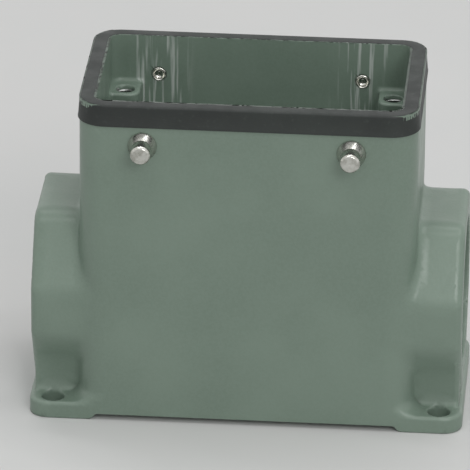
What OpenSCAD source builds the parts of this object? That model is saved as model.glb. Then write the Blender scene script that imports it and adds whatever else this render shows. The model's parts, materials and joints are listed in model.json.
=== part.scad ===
// Lower housing of a heavy duty rectangular connector, size 10, for mounting on a surface.
// +X runs along the housing, -Y is the front, +Z is up. The origin is the middle of the base.
// All sizes are in millimetres.

/* [Housing body] */
// Length of the opening that takes the contact insert
cavity_l = 63.6; // [63.2:0.2:66]
// Width of the opening that takes the contact insert
cavity_w = 35.4; // [34.4:0.2:37]
// Radius of the upright corners inside the cavity
cavity_r = 2.4; // [1.5:0.1:3]
// Wall thickness of the two ends
end_wall = 3.6; // [3:0.1:4.5]
// Wall thickness of the two long sides
side_wall = 3.1; // [2.8:0.1:4]
// Radius of the upright corners outside
body_r = 5.8; // [4.5:0.1:7]
// Height of the shoulder that the seal sits on
body_h = 67.7; // [60:0.1:76]
// Radius round the outer edge of the shoulder
shoulder_r = 0.8; // [0.3:0.1:1.2]
// Thickness of the floor
floor_t = 3; // [2:0.2:4]

/* [Feet] */
// Length over the feet
foot_span = 91.8; // [91:0.2:98]
// Thickness of the feet
foot_t = 3.8; // [3:0.1:5]
// Radius of the foot corners seen from above
foot_r = 4; // [3:0.1:5]
// Radius along the top edge of the feet
foot_edge_r = 0.8; // [0.4:0.1:1.2]
// Distance of the foot holes from the ends of the feet
hole_end = 5; // [4.6:0.1:5.1]
// Distance of the foot holes from the sides of the feet
hole_side = 3.2; // [3.1:0.1:4]
// Diameter of the foot holes
hole_d = 4.8; // [4.2:0.1:5.2]
// Radius of the blend from the body down to the feet
foot_blend_r = 3; // [1.5:0.1:3.4]
// Height of the gap under the long walls, between the feet
relief_h = 1.2; // [0.8:0.1:1.8]
// Length of the gap under the long walls at its roof
relief_l = 63; // [56:0.5:65]

/* [Cable entries] */
// Size across opposite faces of the entry boss
entry_af = 39.2; // [38:0.2:40]
// Radius of the corners between the faces of the boss
entry_corner_r = 5; // [2:0.1:7]
// Height of the entry axis above the base
entry_z = 23.9; // [23.8:0.1:26]
// Length over the two entry bosses
entry_span = 90.8; // [89:0.2:91.6]
// Core diameter of the entry thread
entry_bore_d = 30.4; // [26:0.1:31]
// Width of the lead-in chamfer at the mouth
entry_lead = 0.9; // [0.4:0.1:1.2]
// Radius along the outer edge of the boss
entry_edge_r = 1.6; // [0.6:0.1:2.2]
// Radius of the blend from the top of the boss to the end wall
entry_blend_r = 1.5; // [0.8:0.1:2]
// Width of the web that stands the boss on its foot
web_w = 29.5; // [24:0.5:32]
// How far the web stands back from the outer face of the boss
web_setback = 0.4; // [0.2:0.1:1.6]
// Radius of the blend from the web down to the foot
web_blend_r = 1.5; // [1:0.1:2.2]

/* [Insert seats] */
// Spacing of the insert screws along the housing
insert_pitch_x = 57; // [56.8:0.1:57.2]
// Spacing of the insert screws across the housing
insert_pitch_y = 27; // [26.8:0.1:27.2]
// Core diameter of the insert screw threads
insert_screw_d = 3.3; // [3:0.1:3.6]
// Depth of the insert screw holes
insert_screw_depth = 12; // [8:0.5:16]
// Depth of the seats below the shoulder
seat_drop = 5.9; // [4.5:0.1:7]
// Metal round each screw, towards the middle of the cavity
seat_margin = 3.2; // [2.8:0.1:3.8]
// Radius of the free corner of each seat
seat_r = 2.4; // [0.8:0.1:3]
// Gap between the entry bore and the side core that clears the columns
core_gap = 0.6; // [0.3:0.1:1]

/* [Rim seal] */
// Height of the seal above the shoulder
seal_h = 4.7; // [4.4:0.1:6.5]
// How far the seal stands out past the body at its foot
seal_flare = 0.3; // [0:0.05:0.5]
// Gap left between the seal and the edge of the cavity
seal_setback = 0.3; // [0.1:0.05:0.5]
// Radius along the top edge of the seal
seal_edge_r = 0.5; // [0.2:0.1:0.8]
// Thickness of the tongue that the seal is pushed over
tongue_t = 1.1; // [0.8:0.1:1.3]
// Height of the tongue
tongue_h = 3.2; // [2:0.1:3.6]
// Clearance on each side of the tongue
tongue_gap = 0.05; // [0.02:0.01:0.1]

/* [Locking pegs] */
// Spacing of the pegs along the housing
peg_pitch = 43.4; // [36:0.2:50]
// Depth of the peg axis below the shoulder
peg_drop = 4.1; // [3.7:0.1:6]
// Diameter of the peg where the lever hooks on
peg_d = 4.2; // [3.6:0.1:4.6]
// Length that the peg stands out of the wall
peg_reach = 5.6; // [4:0.1:8]
// Chamfer at the tip of the peg
peg_tip_chamfer = 0.4; // [0.2:0.05:0.6]
// Diameter of the collar against the wall
collar_d = 6.1; // [5.4:0.1:6.6]
// Thickness of the straight part of the collar
collar_t = 0.5; // [0.3:0.1:1]
// Length of the cone from the collar to the peg
collar_cone = 1.7; // [0.8:0.1:2.4]
// Diameter of the shank inside the wall
shank_d = 2.6; // [2:0.1:3]
// Diameter of the riveted tail at the inner wall
tail_d = 3.1; // [3.05:0.05:3.6]
// Depth of the countersink that holds the tail
tail_sink = 0.9; // [0.5:0.1:1.2]
// Height of the rolled lip above the inner wall
tail_lip = 0.3; // [0.1:0.05:0.4]
// Radial clearance of the shank and tail in the wall
peg_fit = 0.02; // [0.01:0.01:0.04]

/* [Hidden] */
$fn = 96;

paint = [0.45, 0.51, 0.46];
rubber = [0.13, 0.16, 0.15];
steel = [0.72, 0.73, 0.70];

body_l = cavity_l + 2 * end_wall;
body_w = cavity_w + 2 * side_wall;
seat_z = body_h - seat_drop;
floor_top = relief_h + floor_t;
tongue_mid_x = (cavity_l + end_wall) / 2;
tongue_mid_y = (cavity_w + side_wall) / 2;
peg_z = body_h - peg_drop;
// Corner axes of the boss: how far they lie behind its faces, and half the length of the top
// face and of the upright face between them. The corners cross the faces at corner_cross.
corner_cross = 8;
boss_core = entry_af / 2 - entry_corner_r * cos(corner_cross);
boss_top = boss_core * tan(30);
boss_side = boss_core * tan(15);
cut = 1; // overrun of a cut past the surface it opens

// Upright solid with rounded plan corners. The child is its edge section: x is the distance
// outward from the corner axis and y is the height.
module rounded_block(l, w, r, h) {
    for (sx = [-1, 1], sy = [-1, 1])
        translate([sx * (l / 2 - r), sy * (w / 2 - r), 0]) rotate_extrude() children();
    rotate([90, 0, 90]) linear_extrude(l - 2 * r, center = true) spread_section(w / 2 - r, h) children();
    rotate([90, 0, 0]) linear_extrude(w - 2 * r, center = true) spread_section(l / 2 - r, h) children();
}

// The edge section on both sides of a filled middle.
module spread_section(half, h) {
    translate([-half, 0]) square([2 * half, h]);
    for (side = [0, 1]) mirror([side, 0]) translate([half, 0]) children();
}

// Edge section with a rounded upper corner.
module edge_section(r, h, edge_r) {
    square([r, h - edge_r]);
    square([r - edge_r, h]);
    translate([r - edge_r, h - edge_r]) circle(edge_r);
}

// Plain rounded rectangle, for cavities and rings.
module rounded_rect(l, w, r) {
    square([l - 2 * r, w], center = true);
    square([l, w - 2 * r], center = true);
    for (sx = [-1, 1], sy = [-1, 1]) translate([sx * (l / 2 - r), sy * (w / 2 - r)]) circle(r);
}

// Hollow corner that a fillet fills: a square with its far corner rounded away.
module fillet_section(r) {
    difference() {
        square(r);
        translate([r, r]) circle(r);
    }
}

// Body, without its cavity.
module body_block() {
    rounded_block(body_l, body_w, body_r, body_h) edge_section(body_r, body_h, shoulder_r);
}

// One plate carries all four feet and runs under the body.
module foot_plate() {
    rounded_block(foot_span, body_w, foot_r, foot_t) edge_section(foot_r, foot_t, foot_edge_r);
}

// Concave blend from the corners and ends of the body down to the feet.
module foot_blend() {
    intersection() {
        linear_extrude(body_h) rounded_rect(foot_span, body_w, foot_r);
        translate([0, 0, foot_t]) union() {
            for (sx = [-1, 1], sy = [-1, 1])
                translate([sx * (body_l / 2 - body_r), sy * (body_w / 2 - body_r), 0])
                    rotate_extrude() translate([body_r, 0]) fillet_section(foot_blend_r);
            rotate([90, 0, 0]) linear_extrude(body_w - 2 * body_r, center = true)
                for (side = [0, 1]) mirror([side, 0])
                    translate([body_l / 2, 0]) fillet_section(foot_blend_r);
        }
    }
}

// One pair of parallel boss faces, rounded at the outer end. x is the distance along the
// housing and y is the distance from the entry axis.
module boss_slab() {
    start = body_l / 4;
    out = entry_span / 2;
    half = entry_af / 2;
    linear_extrude(2 * body_w, center = true) {
        translate([start, -half]) square([out - entry_edge_r - start, 2 * half]);
        translate([start, entry_edge_r - half]) square([out - start, 2 * (half - entry_edge_r)]);
        for (side = [-1, 1]) translate([out - entry_edge_r, side * (half - entry_edge_r)])
            circle(entry_edge_r);
    }
}

// Section that rounds the corners of the boss and leaves its faces flat. x is upward.
module corner_section() {
    wide = boss_core + entry_corner_r;
    square([2 * wide, 2 * boss_top], center = true);
    square([2 * boss_side, 2 * wide], center = true);
    for (v = [-1, 1], side = [-1, 1]) {
        translate([v * boss_core, side * boss_top]) circle(entry_corner_r);
        translate([v * boss_side, side * boss_core]) circle(entry_corner_r);
        sloping_face(v, side);
    }
}

// Metal behind one sloping face, from one corner axis to the next.
module sloping_face(v, side) {
    polygon([[0, 0],
        [v * boss_core, side * boss_top],
        [v * (boss_core + entry_corner_r * cos(60)), side * (boss_top + entry_corner_r * sin(60))],
        [v * (boss_side + entry_corner_r * cos(60)), side * (boss_core + entry_corner_r * sin(60))],
        [v * boss_side, side * boss_core]]);
}

// Entry boss on the +X end: a hexagon with its two side corners cut back upright, so that it
// stays behind the front and rear of the body. All of its corners are rounded.
module entry_boss() {
    translate([0, 0, entry_z]) {
        intersection() {
            rotate([90, 0, 0]) boss_slab();
            rotate([30, 0, 0]) boss_slab();
            rotate([-30, 0, 0]) boss_slab();
            boss_slab();
            rotate([0, -90, 180]) linear_extrude(entry_span / 2 + cut) corner_section();
        }
        boss_blend();
    }
}

// Fillet from the top face of the boss to the end wall, with its two ends sloped down.
module boss_blend() {
    low = entry_af / 2 - cut;
    high = entry_af / 2 + entry_blend_r;
    intersection() {
        rotate([90, 0, 0]) linear_extrude(2 * boss_top, center = true)
            translate([body_l / 2, entry_af / 2]) fillet_section(entry_blend_r);
        rotate([90, 0, 90]) linear_extrude(entry_span / 2)
            polygon([[-boss_top - cut, low], [boss_top + cut, low],
                     [boss_top - entry_blend_r, high], [entry_blend_r - boss_top, high]]);
    }
}

// Web between the boss and its foot.
module entry_web() {
    rotate([90, 0, 90]) linear_extrude(entry_span / 2 - web_setback) {
        translate([-web_w / 2, 0]) square([web_w, entry_z - entry_af / 4]);
        for (side = [0, 1]) mirror([side, 0])
            translate([web_w / 2, foot_t]) fillet_section(web_blend_r);
    }
}

// Everything that the casting adds outside the body.
module casting_outside() {
    body_block();
    foot_plate();
    foot_blend();
    for (end = [0, 1]) mirror([end, 0, 0]) {
        entry_boss();
        entry_web();
    }
}

// Corner columns in plan: what is left of the cavity round each insert screw.
module column_plan() {
    inner_x = insert_pitch_x / 2 - seat_margin;
    inner_y = insert_pitch_y / 2 - seat_margin;
    size_x = cavity_l / 2 - inner_x + cut;
    size_y = cavity_w / 2 - inner_y + cut;
    for (mx = [0, 1], my = [0, 1]) mirror([mx, 0]) mirror([0, my]) translate([inner_x, inner_y]) {
        translate([seat_r, 0]) square([size_x - seat_r, size_y]);
        translate([0, seat_r]) square([size_x, size_y - seat_r]);
        translate([seat_r, seat_r]) circle(seat_r);
    }
}

// Hollow of the casting: full size above the seats, with the columns left standing below.
module cavity() {
    translate([0, 0, seat_z]) linear_extrude(body_h) rounded_rect(cavity_l, cavity_w, cavity_r);
    translate([0, 0, floor_top]) linear_extrude(seat_z - floor_top + cut) difference() {
        rounded_rect(cavity_l, cavity_w, cavity_r);
        column_plan();
    }
}

// Entry thread core, its lead-in, and the side core that runs on past the columns.
module entry_cut() {
    out = entry_span / 2;
    r = entry_bore_d / 2;
    core_in = insert_pitch_x / 2 - seat_margin - cut;
    translate([0, 0, entry_z]) rotate([0, 90, 0]) {
        translate([0, 0, core_in]) cylinder(h = out + cut - core_in, r = r);
        translate([0, 0, core_in]) cylinder(h = cavity_l / 2 - core_in, r = r + core_gap);
        translate([0, 0, out - entry_lead])
            cylinder(h = entry_lead + cut, r1 = r, r2 = r + entry_lead + cut);
    }
}

// Gap under the long walls, with sloping ends.
module relief_cut() {
    half = relief_l / 2;
    rotate([90, 0, 0]) linear_extrude(body_w + 2 * cut, center = true)
        polygon([[-half, relief_h], [half, relief_h], [half + relief_h, 0], [half + relief_h + cut, -cut],
                 [-half - relief_h - cut, -cut], [-half - relief_h, 0]]);
}

// Hole through the wall for one peg, countersunk on the inside. It starts at the cavity.
module peg_hole() {
    cylinder(h = side_wall + cut, d = shank_d + 2 * peg_fit);
    cylinder(h = tail_sink, d1 = tail_d + 2 * peg_fit, d2 = shank_d + 2 * peg_fit);
    translate([0, 0, -cut]) cylinder(h = cut, d = tail_d + 2 * peg_fit);
}

// Places its child on a peg axis, with z = 0 on the cavity wall and +z outward.
module at_peg(sx, sy) {
    translate([sx * peg_pitch / 2, sy * cavity_w / 2, peg_z]) rotate([-sy * 90, 0, 0]) children();
}

// Tongue round the rim.
module tongue(gap) {
    difference() {
        rounded_rect(2 * tongue_mid_x + tongue_t + 2 * gap, 2 * tongue_mid_y + tongue_t + 2 * gap,
                     (body_r + cavity_r) / 2 + tongue_t / 2 + gap);
        rounded_rect(2 * tongue_mid_x - tongue_t - 2 * gap, 2 * tongue_mid_y - tongue_t - 2 * gap,
                     (body_r + cavity_r) / 2 - tongue_t / 2 - gap);
    }
}

// The casting: body, feet, entries, floor and insert columns in one piece.
module housing() {
    color(paint) difference() {
        union() {
            casting_outside();
            translate([0, 0, body_h - cut]) linear_extrude(tongue_h + cut) tongue(0);
        }
        cavity();
        for (end = [0, 1]) mirror([end, 0, 0]) entry_cut();
        relief_cut();
        for (sx = [-1, 1], sy = [-1, 1]) {
            translate([sx * (foot_span / 2 - hole_end), sy * (body_w / 2 - hole_side), -cut])
                cylinder(h = foot_t + 2 * cut, d = hole_d);
            translate([sx * insert_pitch_x / 2, sy * insert_pitch_y / 2, seat_z - insert_screw_depth])
                cylinder(h = insert_screw_depth + cut, d = insert_screw_d);
            at_peg(sx, sy) peg_hole();
        }
    }
}

// Seal section outside: as wide as the body at its top, a little wider at its foot.
module seal_section(r) {
    polygon([[0, 0], [r + seal_flare, 0], [r, seal_h - seal_edge_r], [0, seal_h - seal_edge_r]]);
    square([r - seal_edge_r, seal_h]);
    translate([r - seal_edge_r, seal_h - seal_edge_r]) circle(seal_edge_r);
}

// Rubber seal, pushed over the tongue and standing on the shoulder.
module rim_gasket() {
    color(rubber) difference() {
        translate([0, 0, body_h]) rounded_block(body_l, body_w, body_r, seal_h) seal_section(body_r);
        translate([0, 0, body_h - cut]) linear_extrude(seal_h + 2 * cut)
            rounded_rect(cavity_l + 2 * seal_setback, cavity_w + 2 * seal_setback, cavity_r + seal_setback);
        translate([0, 0, body_h - cut]) linear_extrude(tongue_h + tongue_gap + cut) tongue(tongue_gap);
    }
}

// One turned peg: shank and riveted tail inside the wall, collar and pin outside.
module locking_peg(sx, sy) {
    pin_r = peg_d / 2;
    tail_r = tail_d / 2;
    color(steel) at_peg(sx, sy) rotate_extrude() polygon([
        [0, tail_sink], [tail_r - 2 * tail_lip, -tail_lip / 2], [tail_r - tail_lip, -tail_lip],
        [tail_r, -tail_lip / 2], [tail_r, 0], [shank_d / 2, tail_sink], [shank_d / 2, side_wall],
        [collar_d / 2, side_wall], [collar_d / 2, side_wall + collar_t],
        [pin_r, side_wall + collar_t + collar_cone], [pin_r, side_wall + peg_reach - peg_tip_chamfer],
        [pin_r - peg_tip_chamfer, side_wall + peg_reach], [0, side_wall + peg_reach]]);
}

module locking_peg_front_left() { locking_peg(-1, -1); }
module locking_peg_front_right() { locking_peg(1, -1); }
module locking_peg_rear_left() { locking_peg(-1, 1); }
module locking_peg_rear_right() { locking_peg(1, 1); }

housing();
rim_gasket();
locking_peg_front_left();
locking_peg_front_right();
locking_peg_rear_left();
locking_peg_rear_right();
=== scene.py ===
# %% [markdown]
# # An empty housing for a heavy duty rectangular connector
# This lesson dresses a measured solid model of one aluminium housing. Such a housing is
# screwed to a wall or machine, a contact insert is dropped in from above, cables come in
# through the ends, and a hood is locked on with levers that hook over four steel pegs.
# The painted casting comes from a distance rule in Geometry Nodes, because a casting has soft
# edges and soft inner corners everywhere, and one rule can give all of them at once.

# %% Start from the solids
import json
import math
from types import SimpleNamespace

import bmesh
import bpy
from mathutils import Matrix, Vector


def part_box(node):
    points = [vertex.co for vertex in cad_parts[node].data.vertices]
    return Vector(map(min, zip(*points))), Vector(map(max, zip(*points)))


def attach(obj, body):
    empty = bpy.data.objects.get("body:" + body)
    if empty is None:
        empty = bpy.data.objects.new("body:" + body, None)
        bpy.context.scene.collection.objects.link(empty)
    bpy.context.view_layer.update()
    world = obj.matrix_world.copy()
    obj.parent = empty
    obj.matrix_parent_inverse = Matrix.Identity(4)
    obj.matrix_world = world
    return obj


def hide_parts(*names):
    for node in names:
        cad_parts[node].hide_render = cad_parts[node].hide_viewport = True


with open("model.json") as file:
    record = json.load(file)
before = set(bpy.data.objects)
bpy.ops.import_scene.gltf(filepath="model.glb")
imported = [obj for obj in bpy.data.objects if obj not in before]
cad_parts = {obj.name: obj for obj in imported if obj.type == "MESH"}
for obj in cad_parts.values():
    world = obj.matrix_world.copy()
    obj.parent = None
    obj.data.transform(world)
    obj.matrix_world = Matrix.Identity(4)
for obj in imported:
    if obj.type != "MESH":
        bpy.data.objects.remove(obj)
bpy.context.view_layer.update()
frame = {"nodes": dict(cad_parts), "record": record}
scene = bpy.context.scene
scene.view_settings.view_transform = "Standard"
MM = 0.001
print("solids:", ", ".join(sorted(frame["nodes"])))

# %% [markdown]
# ## Sizes that come from the solids
# The new pieces must land exactly on the solids, so their main sizes are read from the
# solids' boxes and from the places where other parts are mounted. Everything below is in
# millimetres, the unit on a drawing of such a part.

# %% Read the driving sizes
def box_mm(node):
    low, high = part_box(node)
    return low / MM, high / MM

mounts = {m["name"]: m for m in frame["record"]["mounts"]}
foot_box, seal_box = box_mm("housing"), box_mm("rim_gasket")
peg_box = box_mm("locking_peg_rear_right")
SEAL_FLARE = 0.3
body_length = 2 * (seal_box[1].x - SEAL_FLARE)
body_width = 2 * foot_box[1].y
foot_length = 2 * foot_box[1].x
shoulder = seal_box[0].z
seal_top = seal_box[1].z
peg_x = (peg_box[0].x + peg_box[1].x) / 2
peg_z = (peg_box[0].z + peg_box[1].z) / 2
peg_tip = peg_box[1].y
entry_z = mounts["cable_entry_right"]["pos_m"][2] / MM
screws = mounts["insert_screw_holes"]["dims"]
foot_holes = mounts["foot_holes"]["dims"]
print(f"body {body_length:.1f} x {body_width:.1f}, shoulder at {shoulder:.1f} mm")

# %% [markdown]
# ## Writing a formula as nodes
# A distance rule says for each point how far it is from the surface, with a minus sign
# inside the metal. It is a long sum of small steps. A little class lets the sum be written
# as plain Python while every step becomes one Math node in the tree.

# %% A number that lives in a node tree
class Amount:
    def __init__(self, tree, socket):
        self.tree, self.socket = tree, socket

    def step(self, operation, *values):
        node = self.tree.nodes.new("ShaderNodeMath")
        node.operation = operation
        for slot, value in zip(node.inputs, values):
            if isinstance(value, Amount):
                self.tree.links.new(value.socket, slot)
            else:
                slot.default_value = value
        return Amount(self.tree, node.outputs[0])

    def __add__(self, other):
        return self.step("ADD", self, other)

    def __sub__(self, other):
        return self.step("SUBTRACT", self, other)

    def __rsub__(self, other):
        return self.step("SUBTRACT", other, self)

    def __mul__(self, other):
        return self.step("MULTIPLY", self, other)

    def __neg__(self):
        return self * -1

    def __abs__(self):
        return self.step("ABSOLUTE", self)

def bigger(a, b):
    return a.step("MAXIMUM", a, b)

def smaller(a, b):
    return a.step("MINIMUM", a, b)

def across(a, b):
    square = a * a + b * b
    return square.step("SQRT", square)

# %% [markdown]
# ## Soft edges and soft corners
# A mould is cut with round tools, so where two walls join there is a fillet, and where a
# wall ends its edge is rounded. `joined` adds two shapes with a fillet of a given radius, and
# `trimmed` keeps only what is inside both, with a rounded edge.

# %% The three shape rules
def joined(a, b, radius):
    near_a, near_b = bigger(radius - a, 0), bigger(radius - b, 0)
    return bigger(smaller(a, b), radius) - across(near_a, near_b)

def trimmed(a, b, radius):
    return smaller(bigger(a, b), -radius) + across(bigger(a + radius, 0), bigger(b + radius, 0))

def rounded_plan(x, y, length, width, radius):
    out_x, out_y = x - (length * 0.5 - radius), y - (width * 0.5 - radius)
    corner = across(bigger(out_x, 0), bigger(out_y, 0))
    return corner + smaller(bigger(out_x, out_y), 0) - radius

# %% [markdown]
# ## The sizes of the casting
# These become named inputs of the node tree, so the housing can be made longer, taller or
# wider in the modifier panel without touching a node. Radii that the mould maker chooses
# stay in the rule itself.

# %% Named inputs
CASTING = {
    "Body length": body_length, "Body width": body_width, "Body corner": 5.8,
    "Shoulder height": shoulder, "Tongue top": foot_box[1].z,
    "Cavity length": 63.6, "Cavity width": 35.4, "Cavity corner": 2.4,
    "Floor top": 4.2, "Foot length": foot_length, "Foot height": 3.8, "Foot corner": 4.0,
    "Entry height": entry_z, "Boss size": 39.2, "Boss span": 90.8, "Bore radius": 16.0,
    "Web width": 29.5, "Web span": 90.0, "Seat height": 61.8,
    "Screw pitch X": screws["spacing_x_mm"], "Screw pitch Y": screws["spacing_y_mm"],
    "Foot pitch X": foot_holes["spacing_x_mm"], "Foot pitch Y": foot_holes["spacing_y_mm"],
    "Peg pitch": 2 * peg_x, "Peg height": peg_z, "Relief height": 1.2, "Relief length": 63.0,
}

def plain(name):
    return name.lower().replace(" ", "_")

# %% [markdown]
# ## The outside of the casting
# The body stands on a plate with four feet. A hexagonal boss with rounded corners grows out
# of each end for the cable gland, and a web carries it down to the foot. The same rule
# serves all four quarters, because it only ever sees the size of x and y, not their sign.

# %% Body, feet, boss and web
SHOULDER_EDGE = FOOT_EDGE = WEB_EDGE = 0.8
FOOT_BLEND = 3.0
BOSS_BLEND = 1.5
BOSS_EDGE = 1.6
HEX_CORNER, UPRIGHT_CORNER = 2.5, 0.7
BOSS_ROOT = 3.0
WEB_TOP_DROP = 9.0

def outside_of_casting(x, y, z, s):
    body = rounded_plan(x, y, s.body_length, s.body_width, s.body_corner)
    foot = rounded_plan(x, y, s.foot_length, s.body_width, s.foot_corner)
    over_foot = z - s.foot_height
    upper = trimmed(body, z - s.shoulder_height, SHOULDER_EDGE)
    lower = trimmed(joined(body, over_foot, FOOT_BLEND), foot, FOOT_EDGE)
    rise, half = abs(z - s.entry_height), s.boss_size * 0.5
    slope = y * math.cos(math.radians(30)) + rise * math.sin(math.radians(30)) - half
    hexagon = trimmed(trimmed(rise - half, slope, HEX_CORNER), y - half, UPRIGHT_CORNER)
    boss = trimmed(hexagon, x - s.boss_span * 0.5, BOSS_EDGE)
    boss = bigger(boss, s.body_length * 0.5 - BOSS_ROOT - x)
    web = joined(y - s.web_width * 0.5, hexagon, BOSS_BLEND)
    web = joined(joined(web, body, BOSS_BLEND), over_foot, BOSS_BLEND)
    web = trimmed(web, bigger(x - s.web_span * 0.5, foot + WEB_EDGE), WEB_EDGE)
    web = bigger(web, z - s.entry_height + WEB_TOP_DROP)
    return smaller(joined(smaller(upper, lower), boss, BOSS_BLEND), web)

# %% [markdown]
# ## The inside of the casting
# A core leaves the cavity, a floor, and four corner columns that carry the insert screws. A
# tongue stands up round the rim to hold the seal. The bores, the foot holes and the holes for
# the pegs are cut last, each with a small broken edge.

# %% Cavity, columns and holes
def hole(part, cut, edge=0.3):
    return trimmed(part, -cut, edge)

def casting(x, y, z, s):
    cavity = rounded_plan(x, y, s.cavity_length, s.cavity_width, s.cavity_corner)
    margin = 3.2
    column_x = s.screw_pitch_x * 0.5 - margin
    column = trimmed(column_x - x, s.screw_pitch_y * 0.5 - margin - y, 2.4)
    column = trimmed(column, z - s.seat_height, 0.6)
    inside = joined(joined(-cavity, column, 1.0), z - s.floor_top, 1.5)
    part = trimmed(outside_of_casting(x, y, z, s), inside, 0.3)
    mid_x = (s.cavity_length + s.body_length) * 0.5
    mid_y = (s.cavity_width + s.body_width) * 0.5
    tongue = abs(rounded_plan(x, y, mid_x, mid_y, (s.body_corner + s.cavity_corner) * 0.5))
    tongue = bigger(bigger(tongue - 0.55, z - s.tongue_top), s.shoulder_height - 2.0 - z)
    part = smaller(part, tongue)
    ring = across(y, z - s.entry_height)
    bore = bigger(ring - s.bore_radius, s.cavity_length * 0.5 - 0.5 - x)
    side_core = bigger(ring - s.bore_radius + 0.2, column_x - 1.0 - x)
    part = hole(part, smaller(bore, side_core))
    foot_hole = across(x - s.foot_pitch_x * 0.5, y - s.foot_pitch_y * 0.5) - 2.4
    part = hole(part, bigger(foot_hole, z - s.foot_height - 3.0))
    screw = across(x - s.screw_pitch_x * 0.5, y - s.screw_pitch_y * 0.5) - 2.0
    part = hole(part, bigger(screw, s.seat_height - 12.0 - z), 0.25)
    wall_in = s.cavity_width * 0.5
    sink = bigger(smaller((wall_in + 0.9 - y) * 1.1, 1), 0) * 0.25
    peg_hole = across(x - s.peg_pitch * 0.5, z - s.peg_height) - 1.32 - sink
    part = hole(part, bigger(peg_hole, wall_in - 2.0 - y), 0.1)
    part = trimmed(part, -z, 0.3)
    relief_end = (x + z - s.relief_length * 0.5 - s.relief_height) * math.sqrt(0.5)
    return hole(part, bigger(z - s.relief_height, relief_end))

# %% [markdown]
# ## One group that answers "how far?"
# The rule is asked many times: once for every cell of a volume, and again round each point
# of the mesh. So it is packed into one node group with a place as its input.

# %% Build the distance group
def add_sizes(tree):
    for name, value in CASTING.items():
        socket = tree.interface.new_socket(name, in_out="INPUT", socket_type="NodeSocketFloat")
        socket.default_value = value

distance_tree = bpy.data.node_groups.new("casting_distance", "GeometryNodeTree")
distance_tree.interface.new_socket("Place", in_out="INPUT", socket_type="NodeSocketVector")
add_sizes(distance_tree)
distance_tree.interface.new_socket("Distance", in_out="OUTPUT", socket_type="NodeSocketFloat")
sheet_in = distance_tree.nodes.new("NodeGroupInput")
sheet_out = distance_tree.nodes.new("NodeGroupOutput")
split = distance_tree.nodes.new("ShaderNodeSeparateXYZ")
distance_tree.links.new(sheet_in.outputs["Place"], split.inputs[0])
x, y, z = (Amount(distance_tree, split.outputs[i]) for i in range(3))
sizes = SimpleNamespace(**{
    plain(name): Amount(distance_tree, sheet_in.outputs[name]) for name in CASTING})
distance = casting(abs(x), abs(y), z, sizes)
distance_tree.links.new(distance.socket, sheet_out.inputs["Distance"])
print("distance group:", len(distance_tree.nodes), "nodes")

# %% [markdown]
# ## From the rule to a mesh
# The tree fills a volume with the rule and takes its skin. A skin made of cells is only
# nearly right, so each point is then slid along the slope of the rule until it lies on the
# true surface. The slope also gives exact normals. Last, the bend of the rule is stored:
# it is high on edges, where the paint wears and is painted lighter as a highlight, and low
# in corners, where the paint is darkened as painted shade and made rough as dust.

# %% Helpers for the shaping tree
def link(tree, source, target):
    tree.links.new(source, target)

def vector_step(tree, operation, a, b=None, factor=None):
    node = tree.nodes.new("ShaderNodeVectorMath")
    node.operation = operation
    link(tree, a, node.inputs[0])
    if isinstance(b, tuple):
        node.inputs[1].default_value = b
    elif b is not None:
        link(tree, b, node.inputs[1])
    if factor is not None:
        if isinstance(factor, float):
            node.inputs["Scale"].default_value = factor
        else:
            link(tree, factor, node.inputs["Scale"])
    return node.outputs["Vector"]

def ask(tree, entry, place, shift=(0, 0, 0)):
    node = tree.nodes.new("GeometryNodeGroup")
    node.node_tree = distance_tree
    link(tree, vector_step(tree, "ADD", place, shift), node.inputs["Place"])
    for name in CASTING:
        link(tree, entry.outputs[name], node.inputs[name])
    return Amount(tree, node.outputs["Distance"])

AXES = ((1, 0, 0), (0, 1, 0), (0, 0, 1))

def both_sides(tree, entry, place, reach):
    return [tuple(ask(tree, entry, place, tuple(sign * reach * v for v in axis))
                  for sign in (1, -1)) for axis in AXES]

def slope_of_rule(tree, entry, place, reach=0.05):
    pairs = both_sides(tree, entry, place, reach)
    node = tree.nodes.new("ShaderNodeCombineXYZ")
    for slot, (ahead, behind) in zip(node.inputs, pairs):
        link(tree, ((ahead - behind) * (0.5 / reach)).socket, slot)
    return node.outputs[0]

# %% [markdown]
# The shaping tree itself is short: volume, skin, two slides, stored values, material. The
# cell size decides the fineness, and the adaptivity lets flat walls keep large faces.

# %% Build the shaping tree
def place_in_mm(tree):
    position = tree.nodes.new("GeometryNodeInputPosition")
    return vector_step(tree, "SCALE", position.outputs[0], factor=1 / MM)

def store(tree, geometry, name, kind, value):
    node = tree.nodes.new("GeometryNodeStoreNamedAttribute")
    node.data_type = kind
    node.inputs["Name"].default_value = name
    link(tree, geometry, node.inputs["Geometry"])
    link(tree, value, node.inputs["Value"])
    return node.outputs[0]

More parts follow.
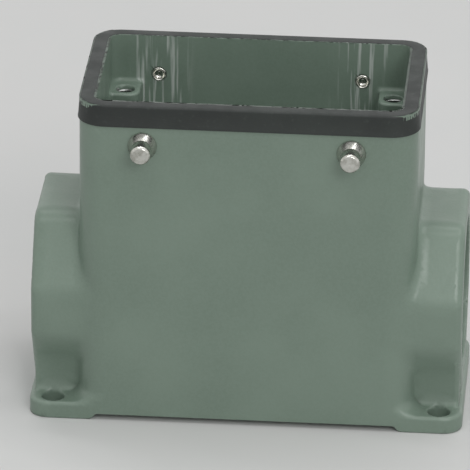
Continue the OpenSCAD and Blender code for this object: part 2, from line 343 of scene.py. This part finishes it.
def shaping_tree(material, low, high, cell):
    tree = bpy.data.node_groups.new("casting_shape", "GeometryNodeTree")
    tree.interface.new_socket("Geometry", in_out="INPUT", socket_type="NodeSocketGeometry")
    add_sizes(tree)
    tree.interface.new_socket("Geometry", in_out="OUTPUT", socket_type="NodeSocketGeometry")
    entry, leave = tree.nodes.new("NodeGroupInput"), tree.nodes.new("NodeGroupOutput")
    cube = tree.nodes.new("GeometryNodeVolumeCube")
    link(tree, (-ask(tree, entry, place_in_mm(tree))).socket, cube.inputs["Density"])
    cube.inputs["Background"].default_value = -1
    cube.inputs["Min"].default_value, cube.inputs["Max"].default_value = low * MM, high * MM
    for axis, span in zip("XYZ", high - low):
        cube.inputs["Resolution " + axis].default_value = round(span / cell)
    skin = tree.nodes.new("GeometryNodeVolumeToMesh")
    link(tree, cube.outputs[0], skin.inputs["Volume"])
    skin.inputs["Threshold"].default_value = 0
    skin.inputs["Adaptivity"].default_value = 0.06
    geometry = skin.outputs[0]
    for _ in range(2):
        place = place_in_mm(tree)
        slope = slope_of_rule(tree, entry, place)
        steep = tree.nodes.new("ShaderNodeVectorMath")
        steep.operation = "DOT_PRODUCT"
        link(tree, slope, steep.inputs[0])
        link(tree, slope, steep.inputs[1])
        square = bigger(Amount(tree, steep.outputs["Value"]), 0.25)
        gap = ask(tree, entry, place) * -MM
        move = gap.step("DIVIDE", gap, square)
        slide = tree.nodes.new("GeometryNodeSetPosition")
        link(tree, geometry, slide.inputs["Geometry"])
        link(tree, vector_step(tree, "SCALE", slope, factor=move.socket), slide.inputs["Offset"])
        geometry = slide.outputs[0]
    place = place_in_mm(tree)
    normal = vector_step(tree, "NORMALIZE", slope_of_rule(tree, entry, place))
    geometry = store(tree, geometry, "true_normal", "FLOAT_VECTOR", normal)
    reach = 0.7
    total = ask(tree, entry, place) * -6
    for ahead, behind in both_sides(tree, entry, place, reach):
        total = total + ahead + behind
    geometry = store(tree, geometry, "bend", "FLOAT", (total * (1 / reach)).socket)
    painted = tree.nodes.new("GeometryNodeSetMaterial")
    painted.inputs["Material"].default_value = material
    whole = tree.nodes.new("GeometryNodeRealizeInstances")
    link(tree, geometry, painted.inputs["Geometry"])
    link(tree, painted.outputs[0], whole.inputs[0])
    link(tree, whole.outputs[0], leave.inputs[0])
    return tree

# %% [markdown]
# ## Baking a tree into a mesh
# A modifier is live, but the finished part should be a plain mesh. The helper runs a tree on
# an empty object, sets the named inputs, takes the result and drops the modifier.

# %% Run a tree and keep its mesh
def run_tree(name, tree, values):
    seed = bpy.data.objects.new(name, bpy.data.meshes.new(name + "_seed"))
    scene.collection.objects.link(seed)
    modifier = seed.modifiers.new("shape", "NODES")
    modifier.node_group = tree
    for item in tree.interface.items_tree:
        if item.in_out == "INPUT" and item.name in values:
            modifier[item.identifier] = values[item.name]
    graph = bpy.context.evaluated_depsgraph_get()
    mesh = bpy.data.meshes.new_from_object(seed.evaluated_get(graph))
    seed.modifiers.clear()
    seed.data = mesh
    mesh.name = name
    print(name, len(mesh.vertices), "points,", len(mesh.polygons), "faces")
    return seed

# %% [markdown]
# ## Helpers for finishes
# A finish is a small shader tree. These helpers keep each one readable: every node is made
# in one line with its settings, and every number that is the same all over a surface is set
# on the shader's own socket.

# %% Shader helpers
def colour(*levels):
    def linear(level):
        level /= 255
        return level / 12.92 if level <= 0.04045 else ((level + 0.055) / 1.055) ** 2.4
    return (*(linear(level) for level in levels), 1)

class Finish:
    def __init__(self, name, base, roughness, **constants):
        self.material = bpy.data.materials.new(name)
        self.material.use_nodes = True
        self.tree = self.material.node_tree
        self.shader = self.tree.nodes["Principled BSDF"]
        self.shader.inputs["Base Color"].default_value = base
        self.shader.inputs["Roughness"].default_value = roughness
        for key, value in constants.items():
            self.shader.inputs[key.replace("_", " ")].default_value = value
        where = self.tree.nodes.new("ShaderNodeTexCoord")
        self.where = where.outputs["Object"]

    def noise(self, size_mm, detail=2.0, stretch=(1, 1, 1), rough=0.5):
        turn = self.tree.nodes.new("ShaderNodeMapping")
        turn.inputs["Scale"].default_value = stretch
        self.tree.links.new(self.where, turn.inputs["Vector"])
        node = self.tree.nodes.new("ShaderNodeTexNoise")
        node.inputs["Scale"].default_value = 1 / (size_mm * MM)
        node.inputs["Detail"].default_value = detail
        node.inputs["Roughness"].default_value = rough
        self.tree.links.new(turn.outputs[0], node.inputs["Vector"])
        return Amount(self.tree, node.outputs["Fac"])

    def attribute(self, name):
        node = self.tree.nodes.new("ShaderNodeAttribute")
        node.attribute_name = name
        return Amount(self.tree, node.outputs["Fac"])

    def range(self, amount, low, high, to_low=0.0, to_high=1.0):
        node = self.tree.nodes.new("ShaderNodeMapRange")
        node.interpolation_type = "SMOOTHSTEP"
        for slot, value in zip(list(node.inputs)[1:5], (low, high, to_low, to_high)):
            slot.default_value = value
        self.tree.links.new(amount.socket, node.inputs["Value"])
        return Amount(self.tree, node.outputs["Result"])

    def mix(self, share, first, second):
        node = self.tree.nodes.new("ShaderNodeMix")
        node.data_type = "RGBA"
        self.tree.links.new(share.socket, node.inputs["Factor"])
        ends = [i for i in node.inputs if i.type == "RGBA"]
        for slot, value in zip(ends, (first, second)):
            if isinstance(value, tuple):
                slot.default_value = value
            else:
                self.tree.links.new(value, slot)
        return [o for o in node.outputs if o.type == "RGBA"][0]

    def bump(self, height, depth_mm, strength=1.0, under=None):
        node = self.tree.nodes.new("ShaderNodeBump")
        node.inputs["Strength"].default_value = strength
        node.inputs["Distance"].default_value = depth_mm * MM
        self.tree.links.new(height.socket, node.inputs["Height"])
        if under is not None:
            self.tree.links.new(under, node.inputs["Normal"])
        return node.outputs[0]

    def set(self, name, value):
        socket = value.socket if isinstance(value, Amount) else value
        self.tree.links.new(socket, self.shader.inputs[name])

    def axis(self, letter):
        node = self.tree.nodes.new("ShaderNodeSeparateXYZ")
        self.tree.links.new(self.where, node.inputs[0])
        return Amount(self.tree, node.outputs[letter]) * (1 / MM)

# %% [markdown]
# ## Powder coat on a casting
# The housing is coated with baked powder, which flows a little as it melts and sets with the
# fine dimples called orange peel. The coat is thinner and shinier on edges, which are also
# painted lighter as a highlight, and in corners it is painted darker as shade and made rough
# as dust. Below the pegs the insert has rubbed pale upright marks inside the wall.

# %% Paint
powder_coat = Finish("powder_coat", colour(113, 130, 117), 0.36)
broad = powder_coat.noise(24, 3)
grain = powder_coat.noise(0.5, 2)
tone = powder_coat.mix(powder_coat.range(broad, 0.35, 0.65),
                       colour(110, 127, 114), colour(116, 133, 120))
tone = powder_coat.mix(powder_coat.range(grain, 0.3, 0.7, 0.0, 0.35), tone,
                       colour(121, 138, 126))
bend = powder_coat.attribute("bend")
patchy = powder_coat.noise(3.5, 3)
# Edges are painted lighter: partly coat wear, partly a painted highlight along the edges.
edge_wear_and_highlight = powder_coat.range(bend, 0.5, 2.2, 0.0, 0.55) * powder_coat.range(patchy, 0.4, 0.62)
tone = powder_coat.mix(edge_wear_and_highlight, tone, colour(150, 163, 153))
# Corners are painted darker as painted shade, and their coat is made rougher as dust.
corner_shade_and_dust = powder_coat.range(-bend, 0.3, 1.6, 0.0, 0.45) * powder_coat.range(patchy, 0.3, 0.6)
tone = powder_coat.mix(corner_shade_and_dust, tone, colour(86, 99, 88))
streak = powder_coat.range(powder_coat.noise(0.9, 3, (1, 1, 0.05)), 0.52, 0.68)
at_peg = abs(abs(powder_coat.axis("X")) - peg_x)
low_wall = powder_coat.range(powder_coat.axis("Z"), peg_z - 13, peg_z - 7)
rubbed = (streak * powder_coat.range(at_peg, 3.0, 8.0, 1.0, 0.0)
          * powder_coat.range(abs(powder_coat.axis("Y")), 17.0, 17.5)
          * powder_coat.range(abs(powder_coat.axis("Y")), 18.0, 18.5, 1.0, 0.0) * low_wall)
tone = powder_coat.mix(rubbed, tone, colour(176, 184, 178))
powder_coat.set("Base Color", tone)
powder_coat.set("Roughness", powder_coat.range(powder_coat.noise(6, 3), 0.3, 0.7, 0.31, 0.42)
                - edge_wear_and_highlight * 0.08 + corner_shade_and_dust * 0.3)
dimples = powder_coat.bump(powder_coat.noise(1.3, 1), 0.045, 0.6)
powder_coat.set("Normal", powder_coat.bump(grain, 0.012, 0.4, dimples))

# %% [markdown]
# ## The casting
# Now the tree runs. The volume reaches a little past the casting on all sides, so that the
# skin closes. The exact normals are then written into the mesh, and the piece takes the
# place of the plain solid.

# %% Shape the casting
MARGIN = Vector((1.2, 1.2, 1.2))
low_corner, high_corner = foot_box[0] - MARGIN, foot_box[1] + MARGIN
cell = 0.4
housing = run_tree("painted_casting",
                   shaping_tree(powder_coat.material, low_corner, high_corner, cell), CASTING)
mesh = housing.data
mesh.shade_smooth()
normals = [tuple(item.vector) for item in mesh.attributes["true_normal"].data]
mesh.normals_split_custom_set_from_vertices(normals)
mesh.attributes.remove(mesh.attributes["true_normal"])
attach(housing, "root")
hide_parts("housing")

# %% [markdown]
# ## Threads
# A gland screws into each entry, and the insert screws go into the columns. A thread is one
# ridge wound round a cylinder, so a small tree sweeps a pointed profile along a spiral. The
# same tree makes the coarse entry threads and the fine ones, copied to the places given.

# %% The thread tree
def thread_tree(material, places, turn):
    tree = bpy.data.node_groups.new("thread", "GeometryNodeTree")
    tree.interface.new_socket("Geometry", in_out="INPUT", socket_type="NodeSocketGeometry")
    for name in ("Radius", "Depth", "Pitch", "Turns"):
        tree.interface.new_socket(name, in_out="INPUT", socket_type="NodeSocketFloat")
    tree.interface.new_socket("Geometry", in_out="OUTPUT", socket_type="NodeSocketGeometry")
    entry, leave = tree.nodes.new("NodeGroupInput"), tree.nodes.new("NodeGroupOutput")
    radius, depth, pitch, turns = (
        Amount(tree, entry.outputs[name]) for name in ("Radius", "Depth", "Pitch", "Turns"))
    spiral = tree.nodes.new("GeometryNodeCurveSpiral")
    spiral.inputs["Resolution"].default_value = 64
    for slot, value in (("Rotations", turns), ("Start Radius", radius * MM),
                        ("End Radius", radius * MM), ("Height", pitch * turns * MM)):
        link(tree, value.socket, spiral.inputs[slot])
    upright = tree.nodes.new("GeometryNodeSetCurveNormal")
    upright.mode = "Z_UP"
    link(tree, spiral.outputs[0], upright.inputs["Curve"])
    square = tree.nodes.new("GeometryNodeCurvePrimitiveCircle")
    square.inputs["Resolution"].default_value = 4
    square.inputs["Radius"].default_value = MM
    reach = tree.nodes.new("ShaderNodeCombineXYZ")
    link(tree, depth.socket, reach.inputs["X"])
    link(tree, (pitch * 0.48).socket, reach.inputs["Y"])
    ridge = tree.nodes.new("GeometryNodeTransform")
    link(tree, square.outputs["Curve"], ridge.inputs["Geometry"])
    link(tree, reach.outputs[0], ridge.inputs["Scale"])
    sweep = tree.nodes.new("GeometryNodeCurveToMesh")
    sweep.inputs["Fill Caps"].default_value = True
    link(tree, upright.outputs[0], sweep.inputs["Curve"])
    link(tree, ridge.outputs[0], sweep.inputs["Profile Curve"])
    together = tree.nodes.new("GeometryNodeJoinGeometry")
    for place, angle in zip(places, turn):
        copy = tree.nodes.new("GeometryNodeTransform")
        copy.inputs["Translation"].default_value = place
        copy.inputs["Rotation"].default_value = angle
        link(tree, sweep.outputs[0], copy.inputs["Geometry"])
        link(tree, copy.outputs[0], together.inputs[0])
    coated = tree.nodes.new("GeometryNodeSetMaterial")
    coated.inputs["Material"].default_value = material
    whole = tree.nodes.new("GeometryNodeRealizeInstances")
    link(tree, together.outputs[0], coated.inputs["Geometry"])
    link(tree, coated.outputs[0], whole.inputs[0])
    link(tree, whole.outputs[0], leave.inputs[0])
    return tree

# %% [markdown]
# A tap takes the coat off where it cuts, so the threads are bare cast alloy, a little rough
# from the tool.

# %% Bare metal of the threads
cut_metal = Finish("cut_alloy", colour(168, 170, 168), 0.34, Metallic=1.0)
cut_metal.set("Roughness", cut_metal.range(cut_metal.noise(0.6, 3), 0.3, 0.7, 0.26, 0.46))
cut_metal.set("Base Color", cut_metal.mix(cut_metal.range(cut_metal.noise(4, 3), 0.35, 0.65),
                                          colour(150, 152, 150), colour(184, 186, 184)))
cut_metal.set("Normal", cut_metal.bump(cut_metal.noise(0.25, 2), 0.01, 0.5))

# %% Cut the threads
entry_start = CASTING["Cavity length"] / 2 + 0.6
entry_place = [(side * entry_start * MM, 0, entry_z * MM) for side in (-1, 1)]
entry_turn = [(0, side * math.pi / 2, 0) for side in (-1, 1)]
screw_place = [(sx * screws["spacing_x_mm"] / 2 * MM, sy * screws["spacing_y_mm"] / 2 * MM,
                (CASTING["Seat height"] - 8.8) * MM) for sx in (-1, 1) for sy in (-1, 1)]
threads = (
    ("entry_threads", entry_place, entry_turn,
     {"Radius": 16.0, "Depth": 0.8, "Pitch": 1.5, "Turns": 7.7}),
    ("insert_screw_threads", screw_place, [(0, 0, 0)] * len(screw_place),
     {"Radius": 2.0, "Depth": 0.35, "Pitch": 0.7, "Turns": 11.6}),
)
for name, places, turn, values in threads:
    ridge = run_tree(name, thread_tree(cut_metal.material, places, turn), values)
    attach(ridge, "root")

# %% [markdown]
# ## The rim seal
# The seal is a moulded rubber frame pushed over the tongue. Its wall is thicker at the ends
# than along the sides, so it is lofted between two rounded rectangles: `share` 0 lies on the
# outer one and 1 on the inner one. The foot flares a little and the top edges are round.

# %% Loft the seal
def rounded_loop(half_x, half_y, radius, steps=14, straight=10):
    loop = []
    for quarter in range(4):
        sx, sy = ((1, 1), (-1, 1), (-1, -1), (1, -1))[quarter]
        for i in range(steps + 1):
            turn = math.pi / 2 * (quarter + i / steps)
            loop.append((sx * (half_x - radius) + radius * math.cos(turn),
                         sy * (half_y - radius) + radius * math.sin(turn)))
        sx2, sy2 = ((-1, 1), (-1, -1), (1, -1), (1, 1))[quarter]
        turn = math.pi / 2 * (quarter + 1)
        after = (sx2 * (half_x - radius) + radius * math.cos(turn),
                 sy2 * (half_y - radius) + radius * math.sin(turn))
        last = loop[-1]
        loop += [(last[0] + (after[0] - last[0]) * k / straight,
                  last[1] + (after[1] - last[1]) * k / straight) for k in range(1, straight)]
    return loop

def arc(centre, radius, start, stop, steps=6):
    return [(centre[0] + radius[0] * math.cos(math.radians(start + (stop - start) * i / steps)),
             centre[1] + radius[1] * math.sin(math.radians(start + (stop - start) * i / steps)))
            for i in range(steps + 1)]

SETBACK = 0.3
seal_h = seal_top - shoulder
outer = (body_length / 2, body_width / 2, CASTING["Body corner"])
inner = (CASTING["Cavity length"] / 2 + SETBACK, CASTING["Cavity width"] / 2 + SETBACK,
         CASTING["Cavity corner"] + SETBACK)
section = ([(-0.09, 0.0), (-0.09, 0.25), (-0.07, 0.45), (0.0, seal_h - 1.2)]
           + arc((0.17, seal_h - 0.5), (0.17, 0.5), 180, 90)
           + arc((0.86, seal_h - 0.4), (0.14, 0.4), 90, 0) + [(1.0, 0.2), (0.97, 0.0)])

def lofted_ring(name, section, base):
    rings = []
    for share, height in section:
        half_x, half_y, radius = (o + (i - o) * share for o, i in zip(outer, inner))
        rings.append([(px * MM, py * MM, (base + height) * MM)
                      for px, py in rounded_loop(half_x, half_y, radius)])
    count, points = len(rings[0]), [p for ring in rings for p in ring]
    faces = [(r * count + k, r * count + (k + 1) % count,
              (r + 1) % len(rings) * count + (k + 1) % count, (r + 1) % len(rings) * count + k)
             for r in range(len(rings)) for k in range(count)]
    mesh = bpy.data.meshes.new(name)
    mesh.from_pydata(points, [], faces)
    return mesh

def new_piece(name, mesh, material, slot, *nodes):
    shaper = bmesh.new()
    shaper.from_mesh(mesh)
    bmesh.ops.remove_doubles(shaper, verts=shaper.verts, dist=0.002 * MM)
    bmesh.ops.recalc_face_normals(shaper, faces=shaper.faces)
    shaper.to_mesh(mesh)
    shaper.free()
    mesh.shade_smooth()
    mesh.set_sharp_from_angle(angle=math.radians(32))
    mesh.materials.append(material)
    piece = bpy.data.objects.new(name, mesh)
    scene.collection.objects.link(piece)
    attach(piece, "root")
    if nodes:
        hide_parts(*nodes)
    print(name, len(mesh.polygons), "faces")
    return piece

# %% [markdown]
# Moulded rubber is nearly black and dull. It still shines a little when light skims across
# its top, and it holds fine dust and pale rub marks.

# %% Rubber and the seal
seal_rubber = Finish("seal_rubber", colour(30, 35, 33), 0.55)
dust = seal_rubber.range(seal_rubber.noise(1.1, 4), 0.55, 0.75, 0.0, 0.35)
cloud = seal_rubber.mix(seal_rubber.range(seal_rubber.noise(14, 3), 0.35, 0.65),
                        colour(28, 33, 31), colour(34, 40, 37))
seal_rubber.set("Base Color", seal_rubber.mix(dust, cloud, colour(58, 64, 60)))
seal_rubber.set("Roughness", seal_rubber.range(seal_rubber.noise(5, 3), 0.3, 0.7, 0.48, 0.64))
pores = seal_rubber.bump(seal_rubber.noise(0.35, 3), 0.02, 0.5)
seal_rubber.set("Normal", seal_rubber.bump(seal_rubber.noise(3.0, 2), 0.05, 0.35, pores))
new_piece("rubber_seal", lofted_ring("rubber_seal", section, shoulder),
          seal_rubber.material, "rubber", "rim_gasket")

# %% [markdown]
# ## The locking pegs
# Each peg is turned from bar: a collar, a cone and a pin for the lever, and a hollow tail that
# is riveted inside the wall. Turned work is a profile spun round an axis. The profile's
# corners are softened first, because a lathe tool and tumbling leave no knife edges.

# %% Turn a profile
def softened(outline, reach):
    soft = [outline[0]]
    for before, corner, after in zip(outline, outline[1:], outline[2:]):
        ends = []
        for other in (before, after):
            way = Vector(other) - Vector(corner)
            ends.append(Vector(corner) + way.normalized() * min(reach, way.length * 0.45))
        for i in range(5):
            t = i / 4
            soft.append(tuple(ends[0] * (1 - t) ** 2 + Vector(corner) * 2 * t * (1 - t)
                              + ends[1] * t ** 2))
    return soft + [outline[-1]]

def turned(name, outline, axis_x, axis_z, side, around=72):
    points, faces = [], []
    for radius, along in outline:
        for k in range(around):
            angle = 2 * math.pi * k / around
            points.append(((axis_x + radius * math.cos(angle)) * MM, side * along * MM,
                           (axis_z + radius * math.sin(angle)) * MM))
    for r in range(len(outline) - 1):
        for k in range(around):
            n = (k + 1) % around
            faces.append((r * around + k, r * around + n,
                          (r + 1) * around + n, (r + 1) * around + k))
    mesh = bpy.data.meshes.new(name)
    mesh.from_pydata(points, [], faces)
    ring = mesh.attributes.new("ring", "FLOAT", "POINT")
    ring.data.foreach_set("value", [r for r, _ in outline for _ in range(around)])
    run = mesh.attributes.new("run", "FLOAT", "POINT")
    run.data.foreach_set("value", [a for _, a in outline for _ in range(around)])
    return mesh

# %% [markdown]
# The finish follows the lathe: fine rings on faces and fine hoops along the pin, both made
# from two stored numbers, the distance from the axis and the distance along it.

# %% Turned steel and the four pegs
turned_steel = Finish("turned_steel", colour(196, 196, 190), 0.2, Metallic=1.0)
ring, run = turned_steel.attribute("ring"), turned_steel.attribute("run")
lathe = ((ring * 46).step("SINE", ring * 46) + (run * 52).step("SINE", run * 52)) * 0.5
smudge = turned_steel.range(turned_steel.noise(1.4, 3), 0.4, 0.7)
turned_steel.set("Base Color", turned_steel.mix(smudge, colour(204, 204, 198),
                                                colour(168, 168, 160)))
turned_steel.set("Roughness", smudge * 0.14 + 0.16)
turned_steel.set("Normal", turned_steel.bump(lathe, 0.006, 0.35,
                                             turned_steel.bump(turned_steel.noise(0.5, 2),
                                                               0.01, 0.25)))
wall_in, wall_out = CASTING["Cavity width"] / 2, body_width / 2
tail = [(0.0, wall_in + 0.52), (0.22, wall_in + 0.5), (0.5, wall_in + 0.6),
        (0.95, wall_in + 0.42), (1.14, wall_in - 0.1), (1.3, wall_in - 0.28),
        (1.52, wall_in - 0.14), (1.54, wall_in + 0.02), (1.3, wall_in + 0.85)]
pin = [(1.3, wall_out), (3.05, wall_out), (3.05, wall_out + 0.5), (2.1, wall_out + 2.2),
       (2.1, peg_tip - 0.4), (1.7, peg_tip), (0.3, peg_tip), (0.0, peg_tip - 0.08)]
profile = softened(tail + pin, 0.12)
for side, depth_word in ((-1, "front"), (1, "rear")):
    for hand, side_word in ((-1, "left"), (1, "right")):
        node = f"locking_peg_{depth_word}_{side_word}"
        new_piece(f"turned_peg_{depth_word}_{side_word}",
                  turned(node, profile, hand * peg_x, peg_z, side),
                  turned_steel.material, "steel", node)

# %% [markdown]
# ## Camera
# A long lens from a good distance keeps the housing's edges nearly parallel, as in a
# catalogue picture. The camera is a little to the right and looks down by about 24 degrees,
# so that the seal, the cavity and the tails of the two rear pegs can be seen.

# %% Place the camera
VIEW_DISTANCE = 1313.889
VIEW_HEIGHT = 37
SHIFT_RIGHT, SHIFT_UP = -3.838, -1.945
LENS, SENSOR = 475.12, 36
turn, tilt, lean = math.radians(4.311), math.radians(24.363), math.radians(0.502)
back = Vector((math.sin(turn) * math.cos(tilt), -math.cos(turn) * math.cos(tilt),
               math.sin(tilt)))
right = Vector((math.cos(turn), math.sin(turn), 0))
up = back.cross(right)
middle = Vector((0, 0, VIEW_HEIGHT)) + right * SHIFT_RIGHT + up * SHIFT_UP
across_view = right * math.cos(lean) + up * math.sin(lean)
up_view = up * math.cos(lean) - right * math.sin(lean)
camera = bpy.data.objects.new("camera", bpy.data.cameras.new("camera"))
scene.collection.objects.link(camera)
scene.camera = camera
camera.matrix_world = (Matrix.Translation((middle + back * VIEW_DISTANCE) * MM)
                       @ Matrix((across_view, up_view, back)).transposed().to_4x4())
camera.data.sensor_width = SENSOR
camera.data.lens = LENS
camera.data.clip_start, camera.data.clip_end = 0.05, 20

# %% [markdown]
# ## Floor and light
# The housing stands in a light tent: a pale floor, an even white surround and two long lamps
# overhead, which draw the narrow glints on the pegs and along the shoulder. The surround is
# fully white where a glossy surface mirrors it, and softer as a light.

# %% Floor, surround and lamps
paper = Finish("paper_floor", colour(208, 208, 208), 0.7)
paper.set("Base Color", paper.mix(paper.range(paper.noise(60, 3), 0.3, 0.7),
                                  colour(207, 208, 207), colour(210, 210, 209)))
paper.set("Normal", paper.bump(paper.noise(0.8, 3), 0.02, 0.2))
sheet = bmesh.new()
bmesh.ops.create_grid(sheet, x_segments=8, y_segments=8, size=3)
floor_mesh = bpy.data.meshes.new("paper_floor")
sheet.to_mesh(floor_mesh)
sheet.free()
floor_mesh.materials.append(paper.material)
floor = bpy.data.objects.new("paper_floor", floor_mesh)
scene.collection.objects.link(floor)

tent = bpy.data.worlds.new("tent")
scene.world = tent
tent.use_nodes = True
nodes, links = tent.node_tree.nodes, tent.node_tree.links
surround = nodes["Background"]
surround.inputs["Color"].default_value = (1, 1, 1, 1)
rays = nodes.new("ShaderNodeLightPath")
seen = nodes.new("ShaderNodeMath")
seen.operation = "MAXIMUM"
links.new(rays.outputs["Is Camera Ray"], seen.inputs[0])
links.new(rays.outputs["Is Glossy Ray"], seen.inputs[1])
level = nodes.new("ShaderNodeMapRange")
level.inputs["To Min"].default_value = 0.55
level.inputs["To Max"].default_value = 1.0
links.new(seen.outputs[0], level.inputs["Value"])
links.new(level.outputs[0], surround.inputs["Strength"])

def lamp(name, place, aim, size, power):
    light = bpy.data.lights.new(name, "AREA")
    light.shape = "RECTANGLE"
    light.size, light.size_y = size
    light.energy = power
    holder = bpy.data.objects.new(name, light)
    holder.location = place
    holder.rotation_euler = (Vector(place) - Vector(aim)).to_track_quat("Z", "Y").to_euler()
    scene.collection.objects.link(holder)

CENTRE = (0, 0, 0.035)
lamp("strip_near", (0.1, -0.25, 1.1), CENTRE, (1.2, 0.08), 2.2)
lamp("strip_far", (0.1, 0.25, 1.1), CENTRE, (1.2, 0.08), 2.2)
lamp("front_window", (0.5, -1.2, 0.9), CENTRE, (0.6, 0.6), 6.0)
